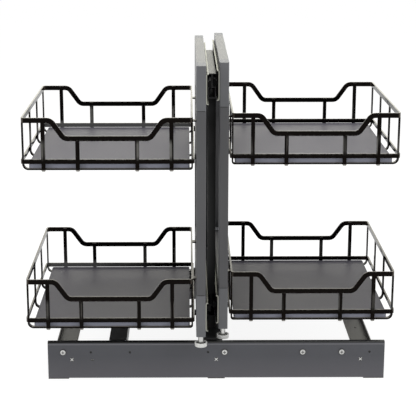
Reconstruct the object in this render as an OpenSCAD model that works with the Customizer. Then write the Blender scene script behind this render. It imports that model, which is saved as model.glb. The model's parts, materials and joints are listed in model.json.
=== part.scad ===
// Blind-corner cabinet pull-out: a floor frame, a carriage that runs sideways on it,
// and two upright frames that slide forward, each with two flat-bar baskets.
// Origin: centre of the floor frame's underside. X to the right, Y to the back, Z up.

/* [Floor frame] */
// Length of the front and rear rails
base_w = 690; // [660:5:760]
// Depth of the floor frame over both rails
base_d = 490; // [470:5:520]
// Height of a rail above its floor plates
rail_h = 78; // [76:1:90]
// Sheet thickness of rails and floor plates
rail_t = 2; // [1.5:0.5:2.5]
// Depth of the rolled lip along a rail's top
rail_lip = 10; // [7:1:12]
// Width of the two outer floor plates
plate_w = 42; // [36:1:50]
// Width of the middle floor plate
plate_mid_w = 35; // [30:1:45]
// Height of the stiffening lip of a floor plate
plate_lip = 12; // [8:1:16]
// Row pitch of the floor fixing holes
floor_pitch = 160; // [128:32:160]
// Diameter of the floor fixing holes
floor_hole_d = 5.5; // [4:0.5:6.5]

/* [Carriage] */
// Place of the centre frame along X when parked
park_x = -9; // [-20:1:0]
// Length of the right-hand stops, which end the carriage's travel 310 mm from its parked place
end_stop_len = 25.7; // [15:0.1:120]
// Width of the centre beam
beam_w = 43; // [40:1:48]
// Width of the outrigger beam
outrigger_w = 36; // [30:1:44]
// Distance from the centre frame to the outrigger beam
outrigger_x = 193; // [170:1:200]
// Sheet thickness of the carriage
carriage_t = 2; // [1.5:0.5:2.5]
// Diameter of the track rollers
roller_d = 16; // [14:1:17]
// Width of a track roller
roller_w = 7; // [5:0.5:7.5]
// Diameter of a roller axle
axle_d = 6; // [5:0.5:6.5]

/* [Centre frame] */
// Width of the centre frame
centre_w = 16; // [15:0.5:18]
// Depth of the centre frame
centre_d = 350; // [320:5:360]
// Height of the centre frame's slide rails
centre_rail_h = 51; // [44:1:56]
// Depth of a centre post, front to back
centre_post_d = 20; // [16:1:26]

/* [Slides] */
// Height of the lower slides' centre line over the frame's lower face
slide_lift = 42; // [40:1:44]
// Depth of the upper slides' centre line below the frame's top face
slide_drop = 45.5; // [43:0.5:48]
// Height of the frame-side slide channel
channel_h = 60; // [56:1:62]
// Length of the middle slide member
mid_len = 400; // [360:5:410]
// Diameter of the slide balls
ball_d = 3; // [2.8:0.1:3.2]

/* [Upright frames] */
// Depth of an upright frame
frame_d = 476; // [470:2:490]
// Width of the posts and beams
post_w = 19; // [16:0.5:22]
// Depth of a post, front to back
post_d = 20; // [16:1:24]
// Height of the frame's top face over its upper basket
frame_over = 101; // [96:1:110]
// Height of the frame's lower face
frame_low = 102; // [98:1:104]
// Height of a corner block
corner_h = 88; // [84:1:92]
// Depth of a corner block
corner_d = 46; // [36:1:60]
// Wall thickness of posts and beams
tube_t = 1.5; // [1:0.25:2.5]
// Place of the frame's front face behind the rail's front face when home
frame_front = 16; // [14:1:20]
// How far the left frame stands pulled out
left_pull = 47; // [0:1:60]
// Height of a basket hanger rail
hanger_h = 14; // [10:1:14]
// Thickness of a basket hanger rail
hanger_t = 4; // [3:0.5:5]

/* [Glide feet] */
// Diameter of the glide disc
disc_d = 25; // [22:1:26]
// Height of the glide disc
disc_h = 7.6; // [7.2:0.2:10]
// Diameter of the foot stud
stud_d = 11; // [8:0.5:12]

/* [Baskets] */
// Width of a basket over its lower rail
basket_w = 340; // [300:5:360]
// Depth of a basket over its top rail
basket_d = 385; // [340:5:400]
// Height of a basket
basket_h = 105; // [90:1:120]
// Height of the lower baskets' underside
basket_low_z = 118; // [110:1:124]
// Level spacing of the baskets
basket_pitch = 328; // [310:1:340]
// Setback of a basket behind its frame's front face
basket_back = 4; // [0:1:10]
// Gap between a basket's lower rail and its frame
basket_gap = 3.2; // [2:0.2:6]
// Thickness of the flat bars
bar_t = 3.2; // [2.5:0.1:4]
// Height of the top rail's bar
top_bar_h = 10; // [7:0.5:12]
// Height of the lower rail's bar
low_bar_h = 9; // [6:0.5:10]
// Width of the upright bars
wire_w = 8; // [6:0.5:10]
// Depth of the dip in the front and back top rails
dip_h = 36; // [32:1:45]
// Distance from a basket's side to its first front bar
front_bar_1 = 45; // [40:1:52]
// Distance from a basket's side to its second front bar
front_bar_2 = 112; // [100:1:125]
// Distance from a basket's front to its second bar under the board
side_bar_2 = 131; // [120:1:150]
// Length of the raised part at each end of a dipped rail
dip_end = 50; // [40:1:70]
// Length of each sloping part of a dipped rail
dip_run = 41; // [36:1:50]
// Bend radius of a dipped rail's middle line
dip_r = 15; // [10:1:15]
// Thickness of the basket's board
board_t = 9; // [6:0.5:12]
// Gap between the board and the bends of the bars
board_gap = 0.5; // [0.5:0.5:4]
// Outer radius of the bends of the bars under the board, on the frame's side
bend_in = 6; // [5:0.5:8]
// Outer radius of the same bends on the open side
bend_out = 12; // [8:0.5:14]

/* [Hidden] */
$fn = 48;
// Clearances: sliding parts, running bores, faces that only meet
slide_clear = 0.4;
bore_clear = 0.05;
face_clear = 0.3;

// Extra length of a cut, so that it runs through its faces
over = 1;

front_y = -base_d / 2;
rail_top = rail_t + rail_h;

// Screws of the rails: the same row of holes, mirrored, stays free
screw_pitch = 160;
screw_mid_x = 17;
screw_edge = 31;
pan_x = [screw_edge - base_w / 2, screw_mid_x, screw_mid_x + screw_pitch,
         screw_mid_x + 1.5 * screw_pitch];
free_x = [for (x = pan_x) -x];
screw_z = 58;
pan_head_d = 13;
pan_head_h = 3.2;
pan_thread_d = 5;
nut_d = 8;
nut_h = 2;
screw_end = 0.2;
lock_edge = 49;
lock_x = [lock_edge - base_w / 2, 0, base_w / 2 - lock_edge];
lock_z = 42;
lock_head_d = 9;
lock_thread_d = 5;
lock_end = 1.5;
recess_w = 1.6;
recess_len = 6.5;
slot_x = -254;
slot_w = 6;
slot_h = 2;
tab_top = lock_z + 5.6;
tab_reach = 16;
hem_r = 4;
floor_mid_y = 43;
fix_x = base_w / 2 - plate_w / 2;

// Track behind each rail
track_t = 1.5;
track_d = 14;
track_lip = 2.4;
track_h = roller_d + 2 * face_clear + 2 * track_t;
track_len = base_w - 20;
stop_len = 10;
roller_y = rail_t + track_d - track_t - face_clear - roller_w / 2;

// Carriage
beam_h = 28;
beam_top = rail_top;
sill_d = 20;
sill_y = rail_t + track_d + 1.6;
sill_top = beam_top - beam_h;
sill_h = 18;
beam_y = sill_y;
axle_tip = 1;
axle_head_d = 10;
axle_head_h = 2;
axle_collar_h = 1.2;
axle_plate_w = 28;
axle_plate_drop = 4;
roller_x = [park_x - outrigger_x, park_x];
roller_groove = 0.8;
roller_rim = 1.5;

// Upright frames: heights
frame_top = basket_low_z + basket_pitch + basket_h + frame_over;
slide_low_z = frame_low + slide_lift;
slide_high_z = frame_top - slide_drop;

// Centre frame and slides, measured sideways from the centre frame's middle plane
centre_top_over = 14.5;
web_half = 2;
centre_half = centre_w / 2;
gap_half = centre_half + 5.3;
groove_half = centre_top_over - 4;
groove_d = ball_d + 0.4;
head_round = 1.1;
centre_wall = 2;
channel_t = 1.5;
channel_r = 3;
head_t = 2.5;
head_out = gap_half - channel_t - slide_clear;
head_gap = 2.2;
head_half = channel_h / 2 - channel_t - head_gap;
inner_half = groove_half - head_gap;
inner_in = web_half + 0.6;
inner_out = 6.2;
mid_web_half = 5;
groove_x = (inner_in + inner_out) / 2;
centre_back = 62;
centre_y = centre_back + frame_front;
mid_ahead = 3;
mid_y = centre_y - (mid_len - centre_d) / 2 - mid_ahead;
channel_end = 1;
pedestal_d = 40;

// Upright frames: sections
outer_half = gap_half + post_w;
corner_r = 2.5;
beam_gap = 3;
corner_groove = 6;
groove_back = 3;
groove_end = 8;
hook_drop_z = 19;
hanger_zs = [for (i = [0, 1]) basket_low_z + i * basket_pitch + basket_h - hook_drop_z];
hook_w = 14;
hook_t = 3;
hook_drop = 12;
hook_inset = 62;
pad_t = basket_gap - face_clear;
pad_d = 12;
pad_inset = 52;

// Glide feet: the disc clears the carriage it passes over
disc_z = rail_top + 0.4;
disc_floor = 3;
disc_recess = 4.2;
disc_wall = 2;
hub_wall = 1.5;
hub_h = 1.2;
foot_x = gap_half + post_w / 2;
foot_y = post_d / 2;

// Baskets, measured from the basket's own inner end, front and underside
ring_r = 8;
top_w = basket_w - 2 * bar_t;
low_d = basket_d - 4 * bar_t;
board_z = bar_t;
board_r = 4;
bar_short = 1.5;
weld = 0.5;
ring_gap = 0.2;
low_ring_z = board_z + board_t + ring_gap;
dip_fall = dip_h - 2 * dip_r;
dip_a = atan2(dip_fall, dip_run) + asin(2 * dip_r / norm([dip_run, dip_fall]));
dip_steps = 8;
front_wires = [front_bar_1, front_bar_2, basket_w - front_bar_2, basket_w - front_bar_1];
pad_z = basket_low_z + low_ring_z + low_bar_h / 2;
side_bar_1 = 2 * bar_t + wire_w / 2;
side_wires = [side_bar_1, side_bar_2, basket_d - side_bar_2, basket_d - side_bar_1];

// ---------- helpers ----------

// A block from its low corner to its high corner
module block(low, high) {
    translate(low) cube(high - low);
}

// A rectangle with round corners, low corner at the origin
module round_rect(w, d, r) {
    translate([r, 0]) square([w - 2 * r, d]);
    translate([0, r]) square([w, d - 2 * r]);
    for (x = [r, w - r], y = [r, d - r]) translate([x, y]) circle(r);
}

// A cylinder along Y from y0 to y1
module rod_y(x, z, d, y0, y1) {
    translate([x, y0, z]) rotate([-90, 0, 0]) cylinder(d = d, h = y1 - y0);
}

// The same thing at the front and, turned about, at the rear of the floor frame
module both_ends() {
    translate([0, front_y, 0]) children();
    mirror([0, 1, 0]) translate([0, front_y, 0]) children();
}

// Places a piece drawn for the right-hand frame (s = 1) or mirrors it (s = -1)
module on_side(s) {
    translate([park_x, front_y + frame_front - (s < 0 ? left_pull : 0), 0])
        mirror([s < 0 ? 1 : 0, 0, 0]) children();
}

// ---------- floor frame ----------

// Section of a rail: a wall with a rolled lip along its top, drawn in Y and Z
module rail_section() {
    square([rail_t, rail_h - hem_r]);
    translate([hem_r, rail_h - rail_t]) square([rail_lip - hem_r, rail_t]);
    translate([rail_lip - rail_t, rail_h - 2 * hem_r]) square([rail_t, 2 * hem_r]);
    intersection() {
        translate([hem_r, rail_h - hem_r]) difference() {
            circle(hem_r);
            circle(hem_r - rail_t);
        }
        translate([0, rail_h - hem_r]) square(hem_r);
    }
}

module rail_body() {
    translate([-base_w / 2, 0, rail_t]) rotate([90, 0, 90])
        linear_extrude(base_w) rail_section();
}

module rail_holes() {
    for (x = concat(pan_x, free_x)) rod_y(x, screw_z, pan_thread_d, -over, rail_t + over);
    for (x = lock_x) {
        rod_y(x, lock_z, lock_thread_d, -over, rail_t + over);
        translate([x, -0.01, lock_z]) rotate([-90, 0, 0])
            cylinder(d1 = lock_head_d, d2 = lock_thread_d, h = rail_t);
    }
    translate([slot_x - slot_w / 2, -over, lock_z - slot_h])
        cube([slot_w, rail_t + 2 * over, slot_h]);
}

module rail() {
    difference() {
        rail_body();
        rail_holes();
    }
}

module front_rail() {
    color("#57585c") translate([0, front_y, 0]) rail();
}

module rear_rail() {
    color("#57585c") mirror([0, 1, 0]) translate([0, front_y, 0]) rail();
}

// A floor plate from x0 to x1, with tabs behind both rails up to the lock screws
module floor_plate(x0, x1, tab0, tab1, screw, lips) {
    difference() {
        union() {
            block([x0, front_y, 0], [x1, -front_y, rail_t]);
            for (x = lips) block([x, front_y + rail_t, 0],
                                 [x + rail_t, -front_y - rail_t, rail_t + plate_lip]);
            both_ends() block([tab0, rail_t, rail_t], [tab1, 2 * rail_t, tab_top]);
        }
        both_ends() rod_y(screw, lock_z, lock_thread_d, -over, 3 * rail_t);
    }
}

// Floor fixing holes down the middle of a plate
module floor_holes(x) {
    for (i = [-1:1]) translate([x, floor_mid_y + i * floor_pitch, -over])
        cylinder(d = floor_hole_d, h = rail_t + 2 * over);
}

module floor_plate_left() {
    color("#6b6a68") difference() {
        floor_plate(-base_w / 2, plate_w - base_w / 2, -base_w / 2, lock_x[0] + tab_reach,
                    lock_x[0], [-base_w / 2]);
        floor_holes(-fix_x);
    }
}

module floor_plate_middle() {
    color("#6b6a68") floor_plate(-plate_mid_w / 2, plate_mid_w / 2, -plate_mid_w / 2,
                                 plate_mid_w / 2, lock_x[1],
                                 [-plate_mid_w / 2, plate_mid_w / 2 - rail_t]);
}

module floor_plate_right() {
    color("#6b6a68") difference() {
        floor_plate(base_w / 2 - plate_w, base_w / 2, lock_x[2] - tab_reach, base_w / 2,
                    lock_x[2], [base_w / 2 - rail_t]);
        floor_holes(fix_x);
    }
}

// A C-shaped track, its open side towards the middle of the floor frame
module track() {
    z0 = screw_z - track_h / 2;
    z1 = screw_z + track_h / 2;
    y1 = rail_t + track_d;
    difference() {
        union() {
            block([-track_len / 2, rail_t, z0], [track_len / 2, rail_t + track_t, z1]);
            for (z = [z0, z1 - track_t])
                block([-track_len / 2, rail_t, z], [track_len / 2, y1, z + track_t]);
            for (z = [z0, z1 - track_lip - track_t])
                block([-track_len / 2, y1 - track_t, z],
                      [track_len / 2, y1, z + track_lip + track_t]);
        }
        for (x = pan_x)
            rod_y(x, screw_z, pan_thread_d, rail_t - over, rail_t + track_t + over);
    }
}

module front_track() {
    color("#26272a") translate([0, front_y, 0]) track();
}

module rear_track() {
    color("#26272a") mirror([0, 1, 0]) translate([0, front_y, 0]) track();
}

// Pan-head screw through rail and track, with its nut inside the track
module pan_screw(x) {
    reach = rail_t + track_t;
    difference() {
        translate([x, 0, screw_z]) rotate([90, 0, 0]) intersection() {
            cylinder(d = pan_head_d, h = pan_head_h);
            translate([0, 0, pan_head_h - pan_head_d]) sphere(d = 2 * pan_head_d);
        }
        for (a = [0, 90]) translate([x, -pan_head_h, screw_z]) rotate([0, a, 0])
            cube([recess_len, pan_head_h, recess_w], center = true);
    }
    rod_y(x, screw_z, pan_thread_d - 2 * bore_clear, -0.5, reach + nut_h + screw_end);
    rod_y(x, screw_z, nut_d, reach, reach + nut_h);
}

module track_screws() {
    color("#cfd2d4") both_ends() for (x = pan_x) pan_screw(x);
}

// Countersunk screw that locks a rail to a floor plate's tab
module lock_screw(x) {
    difference() {
        union() {
            translate([x, 0, lock_z]) rotate([-90, 0, 0])
                cylinder(d1 = lock_head_d - 0.2, d2 = lock_thread_d - 2 * bore_clear, h = rail_t);
            rod_y(x, lock_z, lock_thread_d - 2 * bore_clear, 0.5, 2 * rail_t + lock_end);
        }
        for (a = [45, 135]) translate([x, 0, lock_z]) rotate([0, a, 0])
            cube([recess_len, rail_t, recess_w], center = true);
    }
}

module frame_screws() {
    color("#b4b6b8") both_ends() for (x = lock_x) lock_screw(x);
}

// Plastic plug that fills a stretch of the track
module track_stop(x0, x1) {
    inside = track_h / 2 - track_t;
    block([x0, rail_t + track_t, screw_z - inside],
          [x1, rail_t + track_d - track_t, screw_z + inside]);
}

// Stops of the carriage's travel and a plug in the tracks' other end
module track_stops() {
    wheel = roller_d / 2 + face_clear;
    park_edge = roller_x[0] - wheel;
    color("#26272a") both_ends() {
        track_stop(-track_len / 2, -track_len / 2 + stop_len);
        track_stop(park_edge - 2 * stop_len, park_edge);
        track_stop(track_len / 2 - end_stop_len, track_len / 2);
    }
}

// ---------- carriage ----------

// An inverted channel that runs front to back
module beam(x, w) {
    difference() {
        block([x - w / 2, front_y + beam_y, sill_top], [x + w / 2, -front_y - beam_y, beam_top]);
        block([x - w / 2 + carriage_t, front_y + beam_y - over, sill_top - over],
              [x + w / 2 - carriage_t, -front_y - beam_y + over, beam_top - carriage_t]);
    }
}

// A cross sill under both beams, just inside a rail
module sill() {
    x0 = park_x - outrigger_x - outrigger_w / 2;
    x1 = park_x + beam_w / 2;
    difference() {
        block([x0, sill_y, sill_top - sill_h], [x1, sill_y + sill_d, sill_top]);
        block([x0 - over, sill_y + carriage_t, sill_top - sill_h - over],
              [x1 + over, sill_y + sill_d - carriage_t, sill_top - carriage_t]);
    }
}

module carriage_frame() {
    color("#1d1e20") difference() {
        union() {
            beam(park_x, beam_w);
            beam(park_x - outrigger_x, outrigger_w);
            both_ends() sill();
            both_ends() for (x = roller_x) axle_plate(x);
        }
        both_ends() for (x = roller_x)
            rod_y(x, screw_z, axle_d, sill_y - over, sill_y + carriage_t + over);
    }
}

// Upright plate at the end of each beam that holds a roller axle
module axle_plate(x) {
    block([x - axle_plate_w / 2, sill_y, sill_top - sill_h],
          [x + axle_plate_w / 2, sill_y + carriage_t, beam_top - axle_plate_drop]);
}

module roller_axle(x) {
    head_y = sill_y + carriage_t;
    rod_y(x, screw_z, axle_d - 2 * bore_clear, roller_y - roller_w / 2 - axle_tip,
          head_y + axle_head_h);
    rod_y(x, screw_z, axle_head_d, sill_y - axle_collar_h, sill_y);
    rod_y(x, screw_z, axle_head_d, head_y, head_y + axle_head_h);
}

module roller_axles() {
    color("#c4c7ca") both_ends() for (x = roller_x) roller_axle(x);
}

// A grooved nylon roller
module roller(x) {
    translate([x, roller_y - roller_w / 2, screw_z]) rotate([-90, 0, 0]) difference() {
        cylinder(d = roller_d, h = roller_w);
        translate([0, 0, -over]) cylinder(d = axle_d, h = roller_w + 2 * over);
        for (z = [-over, roller_w - roller_groove]) translate([0, 0, z]) difference() {
            cylinder(d = roller_d - 2 * roller_rim, h = roller_groove + over);
            translate([0, 0, -over]) cylinder(d = axle_d + 2 * roller_rim, h = 4 * over);
        }
    }
}

module roller_front_left() {
    color("#e6e6e2") translate([0, front_y, 0]) roller(roller_x[0]);
}

module roller_front_right() {
    color("#e6e6e2") translate([0, front_y, 0]) roller(roller_x[1]);
}

module roller_rear_left() {
    color("#e6e6e2") mirror([0, 1, 0]) translate([0, front_y, 0]) roller(roller_x[0]);
}

module roller_rear_right() {
    color("#e6e6e2") mirror([0, 1, 0]) translate([0, front_y, 0]) roller(roller_x[1]);
}

// ---------- centre frame ----------

// Section of a centre rail in X and Z: ball grooves on both sides over a hollow box
module centre_rail_section() {
    low = centre_top_over - centre_rail_h;
    difference() {
        translate([-centre_half, low]) square([centre_w, centre_rail_h]);
        for (s = [-1, 1]) translate([s * (centre_half + web_half) / 2, 0])
            square([centre_half - web_half, 2 * groove_half], center = true);
        for (s = [-1, 1], t = [-1, 1])
            translate([s * groove_x, t * groove_half]) circle(d = groove_d);
        translate([-centre_half + centre_wall, low + centre_wall])
            square([centre_w - 2 * centre_wall, -groove_half - low - 3 * centre_wall]);
    }
}

module centre_rail(z) {
    color("#141516") translate([park_x, front_y + centre_y + centre_d, z]) rotate([90, 0, 0])
        linear_extrude(centre_d) centre_rail_section();
}

module centre_lower_rail() {
    centre_rail(slide_low_z);
}

module centre_upper_rail() {
    centre_rail(slide_high_z);
}

// Both upright tubes between the two centre rails
module centre_posts() {
    z0 = slide_low_z + centre_top_over;
    z1 = slide_high_z + centre_top_over - centre_rail_h;
    color("#141516") for (y = [centre_y, centre_y + centre_d - centre_post_d])
        translate([park_x, front_y + y, 0]) difference() {
            block([-centre_half, 0, z0], [centre_half, centre_post_d, z1]);
            block([-centre_half + carriage_t, carriage_t, z0 - over],
                  [centre_half - carriage_t, centre_post_d - carriage_t, z1 + over]);
        }
}

// Blocks that stand the centre frame on the centre beam
module centre_pedestals() {
    z1 = slide_low_z + centre_top_over - centre_rail_h;
    color("#17181a") for (y = [centre_y, centre_y + centre_d - pedestal_d])
        block([park_x - centre_half, front_y + y, beam_top],
              [park_x + centre_half, front_y + y + pedestal_d, z1]);
}

// ---------- slides ----------

// Middle slide member in X and Z: a small head in the centre rail, a large one outside
module mid_section() {
    difference() {
        union() {
            translate([inner_in, -inner_half]) square([inner_out - inner_in, 2 * inner_half]);
            translate([inner_out - 0.01, -mid_web_half])
                square([head_out - inner_out, 2 * mid_web_half]);
            translate([head_out - head_t, -head_half]) square([head_t, 2 * head_half]);
        }
        for (t = [-1, 1]) {
            translate([groove_x, t * (inner_half + head_round)]) circle(d = groove_d);
            translate([head_out - head_t / 2, t * (head_half + head_round)])
                circle(d = groove_d);
        }
    }
}

module mid_member(s, z) {
    pull = s < 0 ? left_pull / 2 : 0;
    color("#2c2d30") translate([park_x, front_y + mid_y - pull, z])
        mirror([s < 0 ? 1 : 0, 0, 0]) translate([0, mid_len, 0]) rotate([90, 0, 0])
            linear_extrude(mid_len) mid_section();
}

module left_mid_lower() {
    mid_member(-1, slide_low_z);
}

module left_mid_upper() {
    mid_member(-1, slide_high_z);
}

module right_mid_lower() {
    mid_member(1, slide_low_z);
}

module right_mid_upper() {
    mid_member(1, slide_high_z);
}

// Channel on the inner side of an upright frame that holds the middle member
module channel(s, z) {
    depth = gap_half - centre_half - 0.5;
    color("#b5b7b6") on_side(s) translate([gap_half - depth, frame_d - channel_end, z])
        rotate([90, 0, 0]) linear_extrude(frame_d - 2 * channel_end) difference() {
            translate([-channel_r, -channel_h / 2])
                round_rect(depth + channel_r, channel_h, channel_r);
            translate([-2 * channel_r, channel_t - channel_h / 2])
                round_rect(depth + 2 * channel_r - channel_t, channel_h - 2 * channel_t,
                           channel_r - channel_t);
            translate([-channel_r - over, -channel_h / 2 - over])
                square([channel_r + over, channel_h + 2 * over]);
        }
}

module left_channel_lower() {
    channel(-1, slide_low_z);
}

module left_channel_upper() {
    channel(-1, slide_high_z);
}

module right_channel_lower() {
    channel(1, slide_low_z);
}

module right_channel_upper() {
    channel(1, slide_high_z);
}

// ---------- upright frames ----------

// A hollow upright between the corner blocks, its front face at y
module post(y) {
    color("#5d5f62") translate([gap_half, y, frame_low + corner_h])
        linear_extrude(frame_top - frame_low - 2 * corner_h) difference() {
            round_rect(post_w, post_d, corner_r);
            translate([tube_t, tube_t]) square([post_w - 2 * tube_t, post_d - 2 * tube_t]);
        }
}

// The upper and lower beams between the corner blocks
module beams() {
    beam_z = corner_h - beam_gap;
    color("#5d5f62") for (z = [frame_low, frame_top - beam_z])
        translate([gap_half, frame_d - corner_d, z]) rotate([90, 0, 0])
            linear_extrude(frame_d - 2 * corner_d) difference() {
                square([post_w, beam_z]);
                translate([tube_t, tube_t]) square([post_w - 2 * tube_t, beam_z - 2 * tube_t]);
            }
}

// One moulded corner block, drawn for the lower front corner
module corner_block() {
    translate([gap_half, 0, 0]) difference() {
        linear_extrude(corner_h) union() {
            round_rect(post_w, corner_d, corner_r);
            translate([0, corner_r]) square([post_w, corner_d - corner_r]);
        }
        translate([post_w - corner_groove, post_d + groove_back, groove_end])
            cube([corner_groove + over, corner_d - post_d - groove_end, corner_h - 2 * groove_end]);
    }
}

module corner_blocks() {
    color("#707276") for (t = [0, 1], e = [0, 1])
        translate([0, e * frame_d, t * (frame_top + frame_low)]) mirror([0, 0, t])
            translate([0, 0, frame_low]) mirror([0, e, 0]) corner_block();
}

// Flat rails between the posts: one under each basket's hooks, one behind the upper pads
module hangers() {
    color("#5d5f62") for (z = concat(hanger_zs, [pad_z + basket_pitch + hanger_h / 2]))
        block([outer_half - hanger_t, post_d, z - hanger_h], [outer_half, frame_d - post_d, z]);
}

// Soft pads that keep a basket's lower rail off its frame
module pads() {
    color("#1b1b1c") for (i = [0, 1], y = [pad_inset, basket_d - pad_inset])
        translate([outer_half, basket_back + y, pad_z + i * basket_pitch])
            rotate([0, 90, 0]) cylinder(d = pad_d, h = pad_t);
}

// Stud of the glide foot under the front lower corner
module foot_stud() {
    color("#a9acb0") translate([foot_x, foot_y, disc_z + disc_floor])
        cylinder(d = stud_d, h = frame_low - disc_z - disc_floor);
}

// Nylon glide disc: a cup with a raised hub that turns on the stud
module disc() {
    color("#f2f2ee") translate([foot_x, foot_y, disc_z]) difference() {
        cylinder(d = disc_d, h = disc_h);
        translate([0, 0, disc_floor - face_clear])
            cylinder(d = stud_d + 2 * bore_clear, h = disc_h);
        translate([0, 0, disc_h - disc_recess]) difference() {
            cylinder(d = disc_d - 2 * disc_wall, h = disc_recess + over);
            translate([0, 0, -over]) cylinder(d = stud_d + 2 * hub_wall, h = hub_h + over);
        }
    }
}

// ---------- baskets ----------

// A rail bent into a closed rectangle with round corners
module ring(w, d, h) {
    linear_extrude(h) difference() {
        round_rect(w, d, ring_r);
        translate([bar_t, bar_t]) round_rect(w - 2 * bar_t, d - 2 * bar_t, ring_r - bar_t);
    }
}

// Points of an arc about (cx, cz) from angle a0 to a1 in n steps
function arc(cx, cz, r, a0, a1, n) =
    [for (i = [0:n]) let (a = a0 + (a1 - a0) * i / n) [cx + r * cos(a), cz + r * sin(a)]];

// Upper (t = 1) or lower (t = -1) edge of the left half of a dipped rail in X and Z
function dip_edge(t) = let (o = t * top_bar_h / 2, n = dip_steps)
    concat([[-bar_t, o]],
           arc(dip_end, -dip_r, dip_r + o, 90, 90 - dip_a, n),
           arc(dip_end + dip_run, -dip_h + dip_r, dip_r - o, 270 - dip_a, 270, n));

// The band that the front and back top rails follow, over the rail's whole width
module dip_band() {
    half = concat(dip_edge(1), [[top_w / 2, -dip_h + top_bar_h / 2],
                                [top_w / 2, -dip_h - top_bar_h / 2]],
                  [for (i = [len(dip_edge(-1)) - 1:-1:0]) dip_edge(-1)[i]]);
    polygon(half);
    translate([top_w, 0]) mirror([1, 0]) polygon(half);
}

// Top rail: the closed ring, cut to the dipped band
module top_rail() {
    translate([bar_t, 0, 0]) intersection() {
        translate([0, 0, basket_h - top_bar_h - dip_h])
            ring(top_w, basket_d, top_bar_h + dip_h);
        translate([0, basket_d + 1, basket_h - top_bar_h / 2]) rotate([90, 0, 0])
            linear_extrude(basket_d + 2) dip_band();
    }
}

module lower_rail() {
    translate([0, 2 * bar_t, low_ring_z]) ring(basket_w, low_d, low_bar_h);
}

// A shape with its two lower corners rounded, r0 on the left and r1 on the right
module tub_shape(span, rise, r0, r1) {
    translate([r0, 0]) square([span - r0 - r1, rise]);
    translate([0, r0]) square([r0, rise - r0]);
    translate([span - r1, r1]) square([r1, rise - r1]);
    translate([r0, r0]) circle(r0);
    translate([span - r1, r1]) circle(r1);
}

// A bar bent up at both ends, span wide, drawn in X and Z with its underside at z = 0
module u_bar_shape(span, rise) {
    difference() {
        tub_shape(span, rise, bend_in, bend_out);
        translate([bar_t, bar_t])
            tub_shape(span - 2 * bar_t, rise, bend_in - bar_t, bend_out - bar_t);
    }
}

// Bars under the board from side to side, bent up at the ends to the top rail's underside
module side_bars() {
    for (y = side_wires)
        translate([bar_t, y + wire_w / 2, 0]) rotate([90, 0, 0]) linear_extrude(wire_w)
            u_bar_shape(basket_w - 2 * bar_t, basket_h - top_bar_h + weld);
}

// Upright bars at the front and back, between the top rail and the outer bars under the board
module front_bars() {
    for (i = [0:3], y = [bar_t, basket_d - 2 * bar_t]) {
        lowered = (i == 1 || i == 2) ? dip_h : 0;
        block([front_wires[i] - wire_w / 2, y, 0],
              [front_wires[i] + wire_w / 2, y + bar_t, basket_h - lowered - bar_short]);
    }
}

// Hooks from the top rail over the frame's hanger rail
module basket_hooks() {
    reach = basket_gap + hanger_t + face_clear + hook_t;
    z = hanger_zs[0] - basket_low_z + face_clear;
    for (y = [hook_inset, basket_d - hook_inset]) {
        block([-reach, y - hook_w / 2, z], [2 * bar_t, y + hook_w / 2, z + hook_t]);
        block([-reach, y - hook_w / 2, z - hook_drop],
              [-reach + hook_t, y + hook_w / 2, z + hook_t]);
        block([2 * bar_t - hook_t, y - hook_w / 2, z],
              [2 * bar_t, y + hook_w / 2, basket_h - bar_short]);
    }
}

module basket() {
    color("#191a1b") translate([outer_half + basket_gap, basket_back, 0]) {
        top_rail();
        lower_rail();
        side_bars();
        front_bars();
        basket_hooks();
    }
}

// Board that lies on the bars inside the lower rail
module board() {
    edge_in = bar_t + bend_in + board_gap;
    edge_out = bar_t + bend_out + board_gap;
    edge_y = 3 * bar_t + 3 * board_gap;
    color("#6d6e73") translate([outer_half + basket_gap + edge_in, basket_back + edge_y, board_z])
        linear_extrude(board_t)
            round_rect(basket_w - edge_in - edge_out, basket_d - 2 * edge_y, board_r);
}

module left_level(i) {
    on_side(-1) translate([0, 0, basket_low_z + i * basket_pitch]) children();
}

module right_level(i) {
    on_side(1) translate([0, 0, basket_low_z + i * basket_pitch]) children();
}

module left_front_post() { on_side(-1) post(0); }
module left_rear_post() { on_side(-1) post(frame_d - post_d); }
module left_beams() { on_side(-1) beams(); }
module left_corner_blocks() { on_side(-1) corner_blocks(); }
module left_hangers() { on_side(-1) hangers(); }
module left_pads() { on_side(-1) pads(); }
module left_foot_stud() { on_side(-1) foot_stud(); }
module left_disc() { on_side(-1) disc(); }
module left_lower_basket() { left_level(0) basket(); }
module left_lower_board() { left_level(0) board(); }
module left_upper_basket() { left_level(1) basket(); }
module left_upper_board() { left_level(1) board(); }

module right_front_post() { on_side(1) post(0); }
module right_rear_post() { on_side(1) post(frame_d - post_d); }
module right_beams() { on_side(1) beams(); }
module right_corner_blocks() { on_side(1) corner_blocks(); }
module right_hangers() { on_side(1) hangers(); }
module right_pads() { on_side(1) pads(); }
module right_foot_stud() { on_side(1) foot_stud(); }
module right_disc() { on_side(1) disc(); }
module right_lower_basket() { right_level(0) basket(); }
module right_lower_board() { right_level(0) board(); }
module right_upper_basket() { right_level(1) basket(); }
module right_upper_board() { right_level(1) board(); }

front_rail();
rear_rail();
floor_plate_left();
floor_plate_middle();
floor_plate_right();
front_track();
rear_track();
track_screws();
frame_screws();
track_stops();
carriage_frame();
roller_axles();
centre_pedestals();
centre_lower_rail();
centre_posts();
centre_upper_rail();
roller_front_left();
roller_front_right();
roller_rear_left();
roller_rear_right();
left_mid_lower();
left_mid_upper();
right_mid_lower();
right_mid_upper();
left_channel_lower();
left_channel_upper();
left_front_post();
left_rear_post();
left_beams();
left_corner_blocks();
left_hangers();
left_pads();
left_foot_stud();
left_disc();
left_lower_basket();
left_lower_board();
left_upper_basket();
left_upper_board();
right_channel_lower();
right_channel_upper();
right_front_post();
right_rear_post();
right_beams();
right_corner_blocks();
right_hangers();
right_pads();
right_foot_stud();
right_disc();
right_lower_basket();
right_lower_board();
right_upper_basket();
right_upper_board();
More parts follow.
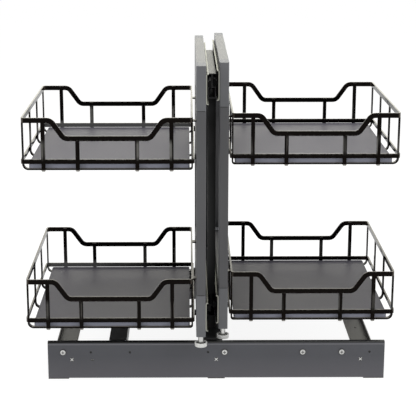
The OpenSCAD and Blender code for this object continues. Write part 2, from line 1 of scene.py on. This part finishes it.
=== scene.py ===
"""Looks of the blind-corner pull-out: materials, softened edges, floor, light and camera.

Everything is in metres in the CAD frame: X right, Y to the back, Z up, the floor at Z = 0.
"""

import json
import math

import bmesh
import bpy
from mathutils import Euler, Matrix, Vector


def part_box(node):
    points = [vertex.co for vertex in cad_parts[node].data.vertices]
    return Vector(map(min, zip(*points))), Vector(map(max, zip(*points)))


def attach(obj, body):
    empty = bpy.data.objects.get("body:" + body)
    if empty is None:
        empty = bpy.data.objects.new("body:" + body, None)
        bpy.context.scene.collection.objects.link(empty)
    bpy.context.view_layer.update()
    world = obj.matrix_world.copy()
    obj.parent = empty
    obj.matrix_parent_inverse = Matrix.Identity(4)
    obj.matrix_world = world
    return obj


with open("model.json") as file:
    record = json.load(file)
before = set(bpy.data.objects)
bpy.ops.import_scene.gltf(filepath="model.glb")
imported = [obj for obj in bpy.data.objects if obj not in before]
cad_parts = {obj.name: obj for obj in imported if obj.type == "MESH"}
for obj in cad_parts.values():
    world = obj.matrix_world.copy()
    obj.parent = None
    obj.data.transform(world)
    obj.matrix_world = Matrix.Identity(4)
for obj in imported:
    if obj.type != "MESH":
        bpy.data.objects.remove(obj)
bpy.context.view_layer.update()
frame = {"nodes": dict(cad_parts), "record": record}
nodes = frame["nodes"]
record = frame["record"]

MM = 0.001
SIDES = ("left", "right")
LEVELS = ("lower", "upper")


# ---------- places taken from the frame ----------

# The rails' outer faces lie this far in front of and behind the frame's middle
RAIL_OUT = -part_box("front_rail")[0].y
RAIL_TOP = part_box("front_rail")[1].z
BASKET_FLOOR = {level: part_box("left_" + level + "_basket")[0].z for level in LEVELS}
POST_LEFT, POST_RIGHT = (corner.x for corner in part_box("centre_posts"))


# ---------- colours ----------


def grey(level, tint=(0, 0, 0)):
    """A linear colour from an 8-bit display grey and a small 8-bit tint."""
    return tuple(((level + t) / 255) ** 2.2 for t in tint)


RAIL_GREY = grey(78, (-1, 0, 5))
RAIL_FLOOR_LIGHT = grey(94, (1, 0, 5))
CREASE_HIGHLIGHT_GREY = grey(112, (0, 0, 4))
LIP_BLACK_AND_EDGE_SHADE = grey(16)
PLATE_GREY = grey(70, (2, 0, -2))
FRAME_GREY = grey(84, (0, 0, 2))
CORNER_GREY = grey(106, (-1, 0, 3))
SEAM_DARK = grey(40)
BLACK_COAT = grey(50)
CENTRE_BLACK = grey(8)
CENTRE_PAINTED_LIGHT = grey(52)
SLIDE_BLACK = grey(10)
NICKEL_BLACK = grey(6, (1, 0, 0))
GLINT_GREY = grey(128, (1, 0, -4))
RING_PAINTED_LIGHT = grey(96)
EDGE_SHEEN = grey(78, (6, 0, -6))
TOP_SHEEN = grey(118, (4, 0, -6))
TIP_HIGHLIGHT_GREY = grey(150, (4, 0, -5))
BOARD_GREY = grey(76, (2, 0, 7))
BOARD_EDGE = grey(150, (-2, 0, 14))
ZINC = grey(165, (2, 2, -8))
BRIGHT_ZINC = grey(200, (0, 0, -2))
RECESS_DARK = grey(84)
SINK_GREY = grey(70)
NYLON = grey(238, (0, 0, -3))
BLACK_PLASTIC = grey(34)
RUBBER = grey(26)


# ---------- materials ----------

# Sockets of the mix node when it blends colours
MIX_SHARE, MIX_FIRST, MIX_SECOND, MIX_RESULT = 0, 6, 7, 2


class Shader:
    """One procedural material, built from noise and masks in the frame's coordinates.

    A mask is a value that goes from 0 to 1 between its start and its end.
    """

    def __init__(self, name, colour, roughness, metallic=0.0):
        self.material = bpy.data.materials.new(name)
        self.material.use_nodes = True
        self.tree = self.material.node_tree
        self.bsdf = self.tree.nodes["Principled BSDF"]
        self.set("Base Color", (*colour, 1))
        self.set("Roughness", roughness)
        self.set("Metallic", metallic)
        self.place = self.add("ShaderNodeTexCoord").outputs["Object"]
        self.colour = colour

    def set(self, socket, value):
        self.bsdf.inputs[socket].default_value = value

    def add(self, kind, **settings):
        """A node, with settings that name a socket or a property."""
        node = self.tree.nodes.new(kind)
        for key, value in settings.items():
            if key in node.inputs:
                node.inputs[key].default_value = value
            else:
                setattr(node, key, value)
        return node

    def link(self, output, target):
        self.tree.links.new(output, target)

    def maths(self, operation, *values):
        """Result of a maths node on outputs and numbers."""
        node = self.add("ShaderNodeMath", operation=operation)
        for value, socket in zip(values, node.inputs):
            if isinstance(value, (int, float)):
                socket.default_value = value
            else:
                self.link(value, socket)
        return node.outputs[0]

    def noise(self, per_metre, detail, stretch=(1, 1, 1)):
        """Noise with this many cells a metre, stretched along an axis by a low factor."""
        mapping = self.add("ShaderNodeMapping", Scale=stretch)
        noise = self.add("ShaderNodeTexNoise", Scale=per_metre, Detail=detail)
        self.link(self.place, mapping.inputs["Vector"])
        self.link(mapping.outputs["Vector"], noise.inputs["Vector"])
        return noise.outputs["Fac"]

    def spread(self, value, low, high, start=0.3, end=0.7):
        """A value between low and high as the input goes from start to end."""
        node = self.add("ShaderNodeMapRange")
        limits = {"From Min": start, "From Max": end, "To Min": low, "To Max": high}
        for socket, limit in limits.items():
            node.inputs[socket].default_value = limit
        self.link(value, node.inputs["Value"])
        return node.outputs["Result"]

    def coordinate(self, vector, axis):
        split = self.add("ShaderNodeSeparateXYZ")
        self.link(vector, split.inputs[0])
        return split.outputs[axis]

    def along(self, axis, start, end):
        """Mask by the place along an axis of the frame."""
        return self.spread(self.coordinate(self.place, axis), 0.0, 1.0, start, end)

    def beyond(self, axis, start, end):
        """Mask by the distance from the frame's middle along an axis."""
        away = self.maths("ABSOLUTE", self.coordinate(self.place, axis))
        return self.spread(away, 0.0, 1.0, start, end)

    def band(self, axis, middle, half):
        """Mask that is 1 around the middle and fades out at the half width."""
        offset = self.maths("SUBTRACT", self.coordinate(self.place, axis), middle)
        return self.spread(self.maths("ABSOLUTE", offset), 1.0, 0.0, half / 2, half)

    def facing(self, axis, start, end, two_sided=False):
        """Mask by how far the surface's normal turns to an axis of the frame."""
        normal = self.add("ShaderNodeNewGeometry").outputs["Normal"]
        turned = self.coordinate(normal, axis)
        if two_sided:
            turned = self.maths("ABSOLUTE", turned)
        return self.spread(turned, 0.0, 1.0, start, end)

    def product(self, first, *others):
        """Mask that is 1 only where all the given masks are."""
        for other in others:
            first = self.maths("MULTIPLY", first, other)
        return first

    def blend(self, value, first, second):
        """Base colour from first to second, each an output or a colour, with the value."""
        mix = self.add("ShaderNodeMix", data_type="RGBA")
        self.link(value, mix.inputs[MIX_SHARE])
        for colour, socket in ((first, MIX_FIRST), (second, MIX_SECOND)):
            if isinstance(colour, tuple):
                mix.inputs[socket].default_value = (*colour, 1)
            else:
                self.link(colour, mix.inputs[socket])
        self.link(mix.outputs[MIX_RESULT], self.bsdf.inputs["Base Color"])

    def shade(self, value, low, high):
        """Multiplies the material's colour by a factor between low and high."""
        dark, light = (tuple(c * factor for c in self.colour) for factor in (low, high))
        self.blend(self.spread(value, 0.0, 1.0), dark, light)

    def overlay(self, mask, colour):
        """Covers the colour made so far with another where the mask is 1."""
        self.blend(mask, self.bsdf.inputs["Base Color"].links[0].from_socket, colour)

    def rough(self, value, low, high):
        self.link(self.spread(value, low, high), self.bsdf.inputs["Roughness"])

    def bump(self, value, depth, strength):
        """Relief of this depth in metres."""
        bump = self.add("ShaderNodeBump", Strength=strength, Distance=depth)
        self.link(value, bump.inputs["Height"])
        self.link(bump.outputs["Normal"], self.bsdf.inputs["Normal"])


def powder_coat(name, colour, roughness=0.38, gloss=0.5):
    """Baked powder paint: fine orange peel, slightly cloudy gloss."""
    shader = Shader(name, colour, roughness)
    shader.set("Specular IOR Level", gloss)
    peel = shader.noise(per_metre=900, detail=2)
    cloud = shader.noise(per_metre=14, detail=3)
    shader.shade(cloud, 0.94, 1.06)
    shader.rough(peel, roughness - 0.05, roughness + 0.07)
    shader.bump(peel, depth=0.06 * MM, strength=0.35)
    return shader


# Heights between which the rails grow paler towards the floor: painted light, as if lit from the
# floor below
RAIL_LIGHT_FADE = (50 * MM, 4 * MM)
# The painted highlight along the crease under the rolled lip: its middle below the rail's top, and
# its half height
CREASE_DROP, CREASE_HALF = 5.4 * MM, 1.3 * MM
# Surfaces that turn this far from the rail's outer face belong to the lip, which is black, and to
# the cut edges and the walls of the holes and slot, where the black is painted shade
LIP_AND_SHADED_EDGE_TURN = (0.97, 0.9)


def rail_coat():
    """Grey coat with a black rolled lip, painted light that makes it paler near the floor, a
    painted highlight along the crease, and painted shade on the cut edges and in the holes and
    slot.
    """
    shader = powder_coat("rail_coat", RAIL_GREY)
    # Painted light: the rail grows paler towards the floor, as if lit from below
    shader.overlay(shader.along("Z", *RAIL_LIGHT_FADE), RAIL_FLOOR_LIGHT)
    # Painted highlight along the crease under the lip
    shader.overlay(shader.band("Z", RAIL_TOP - CREASE_DROP, CREASE_HALF), CREASE_HIGHLIGHT_GREY)
    # Black lip, and painted shade on the cut edges and in the holes and slot
    shader.overlay(shader.facing("Y", *LIP_AND_SHADED_EDGE_TURN, two_sided=True), LIP_BLACK_AND_EDGE_SHADE)
    return shader


def centre_coat():
    """Black coat of the centre frame, with painted light that makes it paler towards its left side.
    """
    shader = powder_coat("centre_coat", CENTRE_BLACK, roughness=0.55, gloss=0.15)
    # Painted light: the centre frame grows paler towards its left side
    shader.overlay(shader.along("X", POST_RIGHT, POST_LEFT), CENTRE_PAINTED_LIGHT)
    return shader


def moulded(name, colour, roughness=0.5, grain=1400):
    """Moulded plastic with a fine spark-eroded grain, in cells a metre."""
    shader = Shader(name, colour, roughness)
    fine = shader.noise(per_metre=grain, detail=4)
    shader.shade(shader.noise(per_metre=30, detail=2), 0.95, 1.05)
    shader.rough(fine, roughness - 0.06, roughness + 0.08)
    shader.bump(fine, depth=0.05 * MM, strength=0.4)
    return shader


# A low index keeps the bars black under the white world, and the tint makes them brownish
NICKEL_IOR = 1.17
NICKEL_TINT = (1.0, 0.82, 0.72, 1.0)
# Glints on the baskets' uprights: their middle above the basket's underside, their half height,
# the noise values between which they come up, and their strength on each level
UPRIGHT_UP, UPRIGHT_HALF = 40 * MM, 22 * MM
GLINT_RISE = (0.46, 0.6)
GLINT_SHARE = {"lower": 0.35, "upper": 0.7}
# Painted light on the back of the left baskets' lower rings, which are paler there: its middle and
# half height likewise, where it starts and is full from front to back, and the same from right to
# left on each level
RING_UP, RING_HALF = 17 * MM, 12 * MM
RING_BACK = (0, 60 * MM)
RING_LEFT = {"lower": (-120 * MM, -280 * MM), "upper": (0, -30 * MM)}
# How far the surface turns sideways on the bars' rounded edges and on their flat sides, and
# upwards on their tops
EDGE_TURN, FLAT_TURN, TOP_TURN = (0.3, 0.6), (0.8, 0.95), (0.35, 0.95)


def black_nickel():
    """Glossy black plating on the basket bars, with the soft ripple of the bent bar, painted glints
    and sheens, and painted light on the back of the left baskets' lower rings.
    """
    shader = Shader("black_nickel", NICKEL_BLACK, roughness=0.13)
    shader.set("IOR", NICKEL_IOR)
    shader.set("Specular Tint", NICKEL_TINT)
    ripple = shader.noise(per_metre=55, detail=2)
    shader.shade(shader.noise(per_metre=25, detail=2), 0.8, 1.25)
    streaks = shader.noise(per_metre=190, detail=1, stretch=(1, 1, 0.02))
    for level, share in GLINT_SHARE.items():
        upright = shader.band("Z", BASKET_FLOOR[level] + UPRIGHT_UP, UPRIGHT_HALF)
        glint = shader.spread(streaks, 0.0, share, *GLINT_RISE)
        shader.overlay(shader.product(glint, upright), GLINT_GREY)
    # Painted light on the back of the left baskets' lower rings
    back = shader.along("Y", *RING_BACK)
    for level, leftward in RING_LEFT.items():
        ring = shader.band("Z", BASKET_FLOOR[level] + RING_UP, RING_HALF)
        shader.overlay(shader.product(ring, back, shader.along("X", *leftward)), RING_PAINTED_LIGHT)
    shader.overlay(shader.facing("X", *EDGE_TURN, two_sided=True), EDGE_SHEEN)
    shader.overlay(shader.facing("X", *FLAT_TURN, two_sided=True), NICKEL_BLACK)
    shader.overlay(shader.facing("Z", *TOP_TURN), TOP_SHEEN)
    shader.rough(ripple, 0.08, 0.18)
    shader.bump(ripple, depth=0.2 * MM, strength=0.3)
    return shader


def zinc_plate(name, colour, roughness):
    """Zinc-plated steel: drawn along its length, faintly cloudy."""
    shader = Shader(name, colour, roughness, metallic=1.0)
    drawn = shader.noise(per_metre=700, detail=3, stretch=(1, 0.03, 1))
    cloud = shader.noise(per_metre=45, detail=4)
    shader.shade(cloud, 0.86, 1.08)
    shader.rough(drawn, roughness - 0.07, roughness + 0.1)
    shader.bump(drawn, depth=0.03 * MM, strength=0.3)
    return shader


# Heights over the rail's outer face between which a pan head's recess falls into shade
RECESS_FADE = (2.2 * MM, 2.0 * MM)


def pan_screws():
    """Zinc pan heads with the cross recess in shade."""
    shader = zinc_plate("pan_screws", BRIGHT_ZINC, roughness=0.24)
    recess = shader.beyond("Y", *(RAIL_OUT + height for height in RECESS_FADE))
    shader.overlay(recess, RECESS_DARK)
    return shader


# How level a board's surface is, from its pale edge to its face
BOARD_TURN = (0.6, 0.3)


def laminate():
    """Matt anthracite laminate with a fine pearl, paler on its edges."""
    shader = Shader("anthracite_laminate", BOARD_GREY, roughness=0.5)
    shader.set("Specular IOR Level", 0.3)
    pearl = shader.noise(per_metre=1600, detail=2)
    shader.shade(pearl, 0.9, 1.1)
    shader.overlay(shader.facing("Z", *BOARD_TURN, two_sided=True), BOARD_EDGE)
    shader.rough(pearl, 0.44, 0.56)
    shader.bump(pearl, depth=0.04 * MM, strength=0.25)
    return shader


# Looks by the material slot of the record
SHADERS = {
    "rail_grey": rail_coat(),
    "plate_grey": powder_coat("plate_coat", PLATE_GREY, roughness=0.5),
    "zinc": zinc_plate("zinc_steel", ZINC, roughness=0.42),
    "screw_zinc": zinc_plate("bright_zinc", BRIGHT_ZINC, roughness=0.24),
    "black_steel": powder_coat("black_coat", BLACK_COAT),
    "slide_dark": powder_coat("slide_coat", SLIDE_BLACK, roughness=0.6, gloss=0.15),
    "frame_grey": powder_coat("frame_coat", FRAME_GREY),
    "corner_grey": moulded("corner_plastic", CORNER_GREY, roughness=0.46),
    "basket_black": black_nickel(),
    "board": laminate(),
    "nylon_white": moulded("nylon", NYLON, roughness=0.35, grain=500),
    "black_plastic": moulded("black_plastic", BLACK_PLASTIC),
    "rubber": moulded("rubber_pad", RUBBER, roughness=0.75),
}
# Pale coat on the bars' rolled ends: a painted highlight
TIP_HIGHLIGHT_SHADER = powder_coat("rolled_tips_painted_highlight", TIP_HIGHLIGHT_GREY, roughness=0.3)
SEAM_SHADER = moulded("seam_shade", SEAM_DARK, roughness=0.8)

# Looks of the nodes that differ from their slot's
NODE_SHADERS = {
    "frame_screws": powder_coat("sunk_screws", SINK_GREY, roughness=0.3),
    "track_screws": pan_screws(),
    "left_foot_stud": SHADERS["screw_zinc"],
    "right_foot_stud": SHADERS["screw_zinc"],
}
NODE_SHADERS.update(dict.fromkeys(
    ("centre_posts", "centre_lower_rail", "centre_pedestals"), centre_coat()))


# ---------- softened edges on the CAD nodes ----------

# Bevel width and segments by the end of the node's name
EDGES = {
    "basket": (0.9 * MM, 2),
    "board": (0.6 * MM, 2),
    "corner_blocks": (1.0 * MM, 2),
    "front_post": (0.8 * MM, 2),
    "rear_post": (0.8 * MM, 2),
    "beams": (0.8 * MM, 2),
    "rail": (0.4 * MM, 2),
    "disc": (0.7 * MM, 2),
    "pads": (0.5 * MM, 2),
    "carriage_frame": (0.4 * MM, 2),
    "pedestals": (0.6 * MM, 2),
    "posts": (0.6 * MM, 2),
    "hangers": (0.4 * MM, 1),
}
WELD_REACH = 0.002 * MM
SHARP = math.radians(38)


def soften(node, width, segments):
    """Rounds a node's sharp edges with modifiers, which keep its solid as it is."""
    weld = node.modifiers.new("weld", "WELD")
    weld.merge_threshold = WELD_REACH
    bevel = node.modifiers.new("edges", "BEVEL")
    bevel.width = width
    bevel.segments = segments
    bevel.limit_method = "ANGLE"
    bevel.angle_limit = SHARP
    normals = node.modifiers.new("normals", "WEIGHTED_NORMAL")
    normals.keep_sharp = True


def dress_nodes():
    """Gives every CAD node its material, and softened edges to those whose name ends as listed in
    EDGES.
    """
    slots = {part["node"]: part["material_slot"] for part in record["subparts"]}
    for name, node in nodes.items():
        shader = NODE_SHADERS.get(name, SHADERS[slots[name]])
        node.data.materials.clear()
        node.data.materials.append(shader.material)
        for ending, (width, segments) in EDGES.items():
            if name.endswith(ending):
                soften(node, width, segments)
                break


# ---------- making small pieces ----------


def piece(name, solid, slot, body, place=(0, 0, 0), shader=None, smooth=False):
    """A closed solid from its points and faces, riding a body of the frame."""
    points, faces = solid
    mesh = bpy.data.meshes.new(name)
    mesh.from_pydata(points, [], faces)
    work = bmesh.new()
    work.from_mesh(mesh)
    bmesh.ops.recalc_face_normals(work, faces=work.faces)
    work.to_mesh(mesh)
    work.free()
    for face in mesh.polygons:
        face.use_smooth = smooth
    mesh.materials.append((shader or SHADERS[slot]).material)
    thing = bpy.data.objects.new(name, mesh)
    thing.location = place
    bpy.context.scene.collection.objects.link(thing)
    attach(thing, body)


def prism(outline, lift, start, end):
    """An outline pushed along a third axis; lift turns its two places and that one into X, Y, Z."""
    count = len(outline)
    points = [lift(a, b, c) for c in (start, end) for a, b in outline]
    faces = [tuple(range(count)), tuple(range(count, 2 * count))]
    faces += [(i, i + count, (i + 1) % count + count, (i + 1) % count) for i in range(count)]
    return points, faces


def lathe(profile, steps=64):
    """A ring turned about an upright axis from radii and heights."""
    points, faces, count = [], [], len(profile)
    for i in range(steps):
        turn = 2 * math.pi * i / steps
        points += [(r * math.cos(turn), r * math.sin(turn), z) for r, z in profile]
        for j in range(count):
            here, after, k = i * count, (i + 1) % steps * count, (j + 1) % count
            faces.append((here + j, after + j, after + k, here + k))
    return points, faces


def joined(solids):
    """Several solids as one."""
    points, faces = [], []
    for more_points, more_faces in solids:
        faces += [tuple(k + len(points) for k in face) for face in more_faces]
        points += more_points
    return points, faces


# ---------- glide feet ----------

# The rubber washer in a glide disc's recess: radii, place over the disc's underside, height
# and rounding
WASHER_IN, WASHER_OUT = 7.3 * MM, 10.2 * MM
WASHER_UP, WASHER_H = 3.4 * MM, 1.4 * MM
WASHER_ROUND = 0.3 * MM


def disc_washer(side):
    low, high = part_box(side + "_disc")
    place = ((low.x + high.x) / 2, (low.y + high.y) / 2, low.z + WASHER_UP)
    shoulder = WASHER_H - WASHER_ROUND
    section = [(WASHER_IN, 0), (WASHER_OUT, 0), (WASHER_OUT, shoulder),
               (WASHER_OUT - WASHER_ROUND, WASHER_H), (WASHER_IN + WASHER_ROUND, WASHER_H),
               (WASHER_IN, shoulder)]
    piece(side + "_disc_washer", lathe(section), "rubber", side + "_foot", place, smooth=True)


# ---------- front rail ----------

# Clip behind the slot, put there as painted shade so the slot shows grey and not the floor: half
# its width, and a plate with a folded upper edge, as millimetres in Y and Z from the rail's outer
# face and the slot's middle
CLIP_HALF = 7 * MM
CLIP_PROFILE = ((2.1, -4.0), (2.4, -4.3), (3.3, -4.3), (3.5, -4.0), (3.5, 3.2), (6.0, 4.6),
                (6.0, 5.6), (5.6, 5.8), (2.5, 4.1), (2.1, 3.6))
SLOT_X = -254 * MM

# Bare metal in the cross recess of a countersunk screw: a star with four arms
CROSS_ARM, CROSS_HALF = 4.3 * MM, 0.85 * MM
CROSS_TURN = math.radians(45)
CROSS_OUT, CROSS_DEPTH = 0.1 * MM, 0.25 * MM
LOCK_X = (-296 * MM, 0.0, 296 * MM)
LOCK_Z = 42 * MM


def slot_shade_clip():
    clip = prism(CLIP_PROFILE, lambda y, z, x: (x, y * MM, z * MM), -CLIP_HALF, CLIP_HALF)
    # The clip stands in for the shade seen through the slot
    piece("slot_shade_clip", clip, "zinc", "base", (SLOT_X, -RAIL_OUT, LOCK_Z))


def star():
    """Outline of the four-armed star: two corners at an arm's end and one between arms."""
    outline = []
    for i in range(4):
        turn = CROSS_TURN + i * math.pi / 2
        for along, across in ((CROSS_ARM, -CROSS_HALF / 2), (CROSS_ARM, CROSS_HALF / 2),
                              (CROSS_HALF, CROSS_HALF)):
            outline.append((along * math.cos(turn) - across * math.sin(turn),
                            along * math.sin(turn) + across * math.cos(turn)))
    return outline


def lock_crosses():
    for number, middle in enumerate(LOCK_X, 1):
        cross = prism(star(), lambda x, z, y: (x, y, z), -CROSS_OUT, CROSS_DEPTH)
        place = (middle, -RAIL_OUT, LOCK_Z)
        piece("lock_cross_" + str(number), cross, "screw_zinc", "base", place)


# ---------- carriage ----------

# Closing plate in each end of the carriage's beams, behind the roller's plate: a folded sheet,
# as millimetres in Y and Z, and its place behind the rail's outer face
CAP_PROFILE = ((0.0, 67.0), (0.3, 66.5), (6.4, 66.5), (6.7, 66.8), (6.7, 67.7), (6.4, 68.0),
               (1.8, 68.0), (1.5, 68.4), (1.5, 77.4), (1.2, 77.8), (0.3, 77.8), (0.0, 77.4))
CAP_BACK = 20 * MM
# Middle and half width of each beam's plates
BEAMS = {"centre_beam": (-9 * MM, 19 * MM), "outrigger_beam": (-202 * MM, 15.5 * MM)}


def beam_caps():
    for name, (middle, half) in BEAMS.items():
        for end, way in (("front", 1), ("rear", -1)):
            cap = prism(CAP_PROFILE, lambda y, z, x: (x, way * y * MM, z * MM), -half, half)
            place = (middle, way * (CAP_BACK - RAIL_OUT), 0)
            piece(name + "_cap_" + end, cap, "black_steel", "carriage", place)


# ---------- upright frames ----------

# Rolled lower ends of the baskets' front and back uprights, coloured pale as a painted highlight
# where they catch the light: an outline as millimetres in X and Z, and their places from the
# basket's inner end and from its front
TIP_OUTLINE = ((-3.9, 0.4), (-3.9, -0.8), (-3.2, -1.8), (-2.0, -2.3), (2.0, -2.3), (3.2, -1.8),
               (3.9, -0.8), (3.9, 0.4))
TIP_X = (45 * MM, 112 * MM, 228 * MM, 295 * MM)
TIP_Y = (3.1 * MM, 6.6 * MM)
# The basket without its hooks, as in the CAD source
BASKET_W, BASKET_D = 340 * MM, 385 * MM


def bar_tips(side, level):
    low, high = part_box(side + "_" + level + "_basket")
    inner, way = (high.x - BASKET_W, 1) if side == "right" else (low.x + BASKET_W, -1)
    front, back = TIP_Y, (BASKET_D - TIP_Y[1], BASKET_D - TIP_Y[0])
    tips = []
    for along in TIP_X:
        middle = inner + way * along
        for start, end in (front, back):
            tips.append(prism(
                TIP_OUTLINE, lambda x, z, y: (middle + x * MM, low.y + y, low.z + z * MM),
                start, end))
    name = side + "_" + level + "_bar_tips"
    # The tips take the pale painted-highlight coat, not the black plating
    piece(name, joined(tips), "basket_black", side + "_frame", shader=TIP_HIGHLIGHT_SHADER)


# Dark joint between a corner block and its post: how far it stands out, its height and its
# chamfer, and the height of a corner block
SEAM_OUT, SEAM_H, SEAM_CUT = 0.15 * MM, 1.1 * MM, 2.2 * MM
BLOCK_H = 88 * MM


def chamfered(x0, x1, y0, y1, cut):
    """Outline of a rectangle with cut corners."""
    return ((x0 + cut, y0), (x1 - cut, y0), (x1, y0 + cut), (x1, y1 - cut),
            (x1 - cut, y1), (x0 + cut, y1), (x0, y1 - cut), (x0, y0 + cut))


def block_seams(side):
    low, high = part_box(side + "_corner_blocks")
    seams = []
    for post in ("_front_post", "_rear_post"):
        corner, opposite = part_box(side + post)
        outline = chamfered(corner.x - SEAM_OUT, opposite.x + SEAM_OUT,
                            corner.y - SEAM_OUT, opposite.y + SEAM_OUT, SEAM_CUT)
        for middle in (low.z + BLOCK_H, high.z - BLOCK_H):
            start, end = middle - SEAM_H / 2, middle + SEAM_H / 2
            seams.append(prism(outline, lambda x, y, z: (x, y, z), start, end))
    name = side + "_block_seams"
    piece(name, joined(seams), "black_plastic", side + "_frame", shader=SEAM_SHADER)


# ---------- floor and world ----------

WORLD_LIGHT = 0.5
FLOOR_GLOW = 0.90
FLOOR_TONE = 0.20
FLOOR_BOUNCE = 0.6
FLOOR_HALF = 12.0


def camera_mix(tree, seen, unseen):
    """Joins two shaders: one for camera, glossy and transmission rays, one for the rest."""
    rays = tree.nodes.new("ShaderNodeLightPath").outputs
    chosen = rays["Is Camera Ray"]
    for kind in ("Is Glossy Ray", "Is Transmission Ray"):
        either = tree.nodes.new("ShaderNodeMath")
        either.operation = "MAXIMUM"
        tree.links.new(chosen, either.inputs[0])
        tree.links.new(rays[kind], either.inputs[1])
        chosen = either.outputs[0]
    mix = tree.nodes.new("ShaderNodeMixShader")
    for source, socket in zip((chosen, unseen, seen), mix.inputs):
        tree.links.new(source, socket)
    return mix.outputs[0]


def make_world():
    """White to the camera, softer as a light."""
    world = bpy.data.worlds.new("studio")
    bpy.context.scene.world = world
    world.use_nodes = True
    tree = world.node_tree
    seen = tree.nodes["Background"]
    unseen = tree.nodes.new("ShaderNodeBackground")
    for background, strength in ((seen, 1.0), (unseen, WORLD_LIGHT)):
        background.inputs["Color"].default_value = (1, 1, 1, 1)
        background.inputs["Strength"].default_value = strength
    mixed = camera_mix(tree, seen.outputs[0], unseen.outputs[0])
    tree.links.new(mixed, tree.nodes["World Output"].inputs["Surface"])


def floor_material():
    """Nearly white to the camera with the object's shadow, and plain grey as a bounce."""
    material = bpy.data.materials.new("pale_floor")
    material.use_nodes = True
    tree = material.node_tree
    tone = tree.nodes.new("ShaderNodeBsdfDiffuse")
    tone.inputs["Color"].default_value = (FLOOR_TONE, FLOOR_TONE, FLOOR_TONE, 1)
    glow = tree.nodes.new("ShaderNodeEmission")
    glow.inputs["Strength"].default_value = FLOOR_GLOW
    seen = tree.nodes.new("ShaderNodeAddShader")
    tree.links.new(tone.outputs[0], seen.inputs[0])
    tree.links.new(glow.outputs[0], seen.inputs[1])
    unseen = tree.nodes["Principled BSDF"]
    unseen.inputs["Base Color"].default_value = (FLOOR_BOUNCE, FLOOR_BOUNCE, FLOOR_BOUNCE, 1)
    unseen.inputs["Roughness"].default_value = 1.0
    mixed = camera_mix(tree, seen.outputs[0], unseen.outputs[0])
    tree.links.new(mixed, tree.nodes["Material Output"].inputs["Surface"])
    return material


def make_floor():
    mesh = bpy.data.meshes.new("floor")
    half = FLOOR_HALF
    corners = [(-half, -half, 0), (half, -half, 0), (half, half, 0), (-half, half, 0)]
    mesh.from_pydata(corners, [], [(0, 1, 2, 3)])
    mesh.materials.append(floor_material())
    floor = bpy.data.objects.new("floor", mesh)
    bpy.context.scene.collection.objects.link(floor)


# ---------- lights and camera ----------

# All soft boxes turn to the middle of the object
AIM = (0.0, -0.05, 0.33)
WHITE = (1.0, 1.0, 1.0)
WARM = (1.0, 0.985, 0.8)
# Place, width and height, power and tint
SOFT_BOXES = {
    "top_box": ((0.0, 0.1, 2.3), (2.2, 1.6), 30, WHITE),
    "back_box": ((0.0, 3.4, 1.5), (3.0, 1.0), 13, WARM),
    "left_box": ((-2.2, -1.4, 1.3), (0.35, 1.6), 15, WHITE),
    "right_box": ((2.2, -1.4, 1.3), (0.35, 1.6), 15, WHITE),
}

CAMERA_PLACE = (-0.060, -2.615, 0.999)
CAMERA_YAW = math.radians(-0.42)
# A level camera stands at 90 degrees; this one looks down a little
CAMERA_PITCH = math.radians(90 - 13.95)
CAMERA_SENSOR, CAMERA_LENS = 36.0, 106.74
CAMERA_SHIFT = (0.030, -0.055)
CAMERA_REACH = 60


def soft_box(name, place, size, power, tint):
    light = bpy.data.lights.new(name, "AREA")
    light.shape = "RECTANGLE"
    light.size, light.size_y = size
    light.energy = power
    light.color = tint
    lamp = bpy.data.objects.new(name, light)
    lamp.location = place
    lamp.rotation_euler = (Vector(AIM) - Vector(place)).to_track_quat("-Z", "Y").to_euler()
    lamp.visible_camera = False
    bpy.context.scene.collection.objects.link(lamp)


def make_camera():
    data = bpy.data.cameras.new("camera")
    data.sensor_width = CAMERA_SENSOR
    data.lens = CAMERA_LENS
    data.shift_x, data.shift_y = CAMERA_SHIFT
    data.clip_end = CAMERA_REACH
    camera = bpy.data.objects.new("camera", data)
    camera.location = CAMERA_PLACE
    camera.rotation_euler = Euler((CAMERA_PITCH, 0, CAMERA_YAW), "XYZ")
    bpy.context.scene.collection.objects.link(camera)
    bpy.context.scene.camera = camera


# ---------- the scene ----------

dress_nodes()
for side in SIDES:
    disc_washer(side)
    block_seams(side)
    for level in LEVELS:
        bar_tips(side, level)
beam_caps()
slot_shade_clip()
lock_crosses()
make_world()
make_floor()
for name, settings in SOFT_BOXES.items():
    soft_box(name, *settings)
make_camera()
bpy.context.scene.view_settings.view_transform = "Standard"
